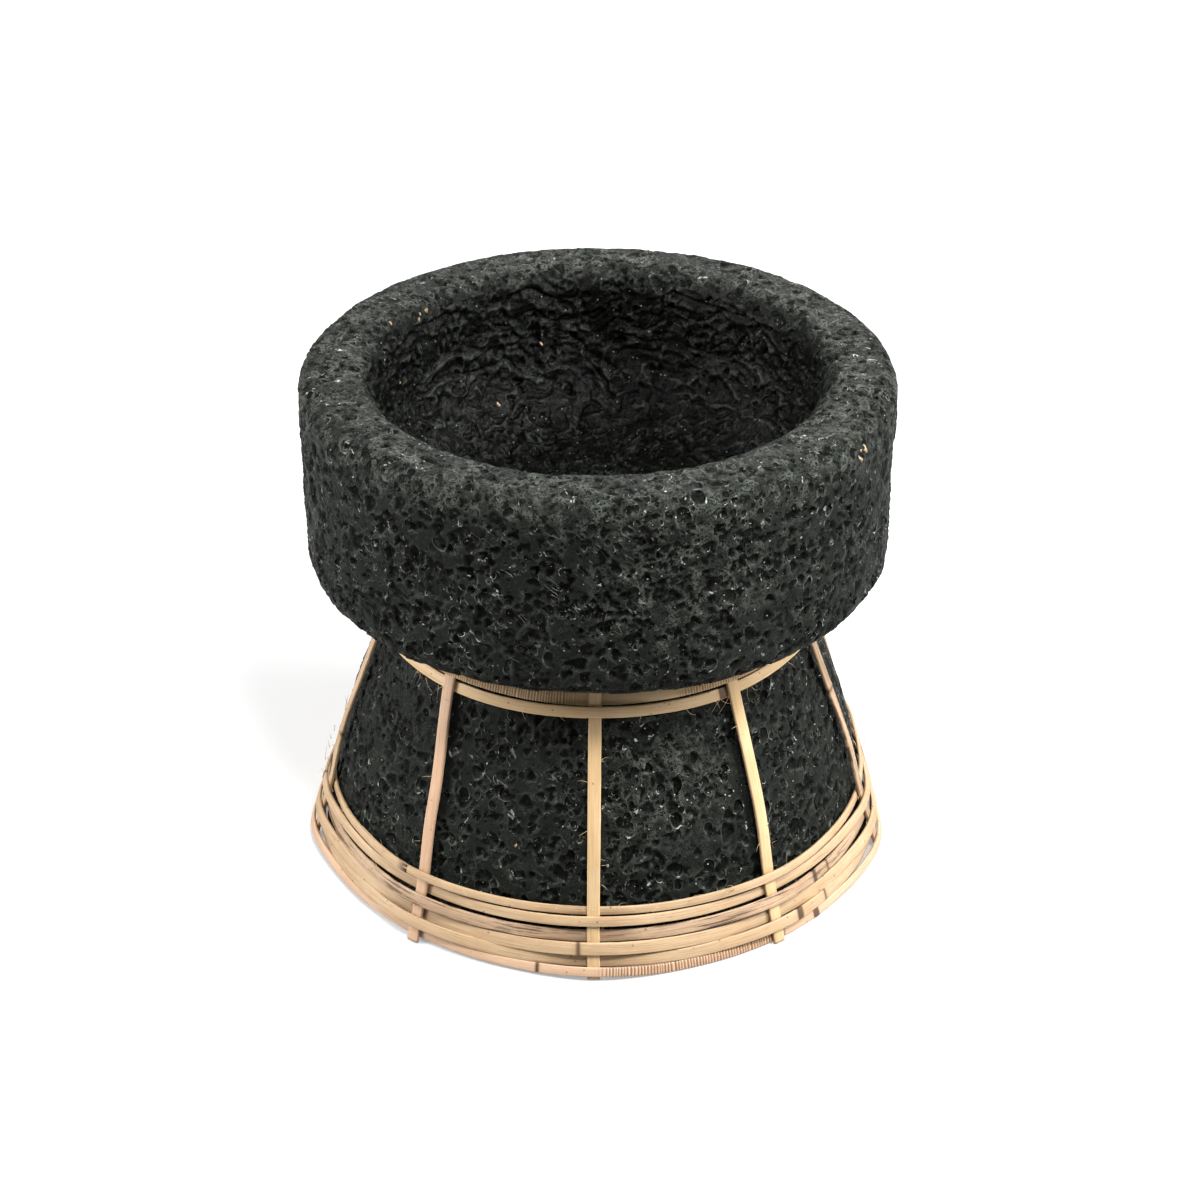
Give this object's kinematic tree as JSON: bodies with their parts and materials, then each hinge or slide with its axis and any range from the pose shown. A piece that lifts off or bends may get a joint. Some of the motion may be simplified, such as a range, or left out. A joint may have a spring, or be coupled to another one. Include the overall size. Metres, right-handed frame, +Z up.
{
  "type": "molcajete",
  "caption": "Round stone mortar bowl on a flared stone foot of one piece with it, the foot dressed with a cage of flat rattan ribs and woven rattan hoops.",
  "frame": {"origin": "centre of the foot's resting plane, on the bowl's axis", "axes": "+Z up along the bowl's axis, -Y to the front, where rib_01 stands"},
  "size_m": [0.2252, 0.2275, 0.197],
  "materials": {
    "stone": "dark charcoal volcanic stone, pitted and roughly dressed, with small glints",
    "rattan_rib": "split rattan, pale straw, satin skin with fine lengthwise grain",
    "rattan_hoop": "split rattan, tan with brown streaks and node scars, satin skin"
  },
  "bodies": {
    "root": {"stone_body": "stone", "rib_01": "rattan_rib", "rib_02": "rattan_rib", "rib_03": "rattan_rib", "rib_04": "rattan_rib", "rib_05": "rattan_rib", "rib_06": "rattan_rib", "rib_07": "rattan_rib", "rib_08": "rattan_rib", "rib_09": "rattan_rib", "rib_10": "rattan_rib", "neck_hoop_upper": "rattan_hoop", "neck_hoop_lower": "rattan_hoop", "base_hoop_1": "rattan_hoop", "base_hoop_2": "rattan_hoop", "base_hoop_3": "rattan_hoop", "base_hoop_4": "rattan_hoop", "base_hoop_5": "rattan_hoop", "base_hoop_6": "rattan_hoop"}
  },
  "joints": []
}
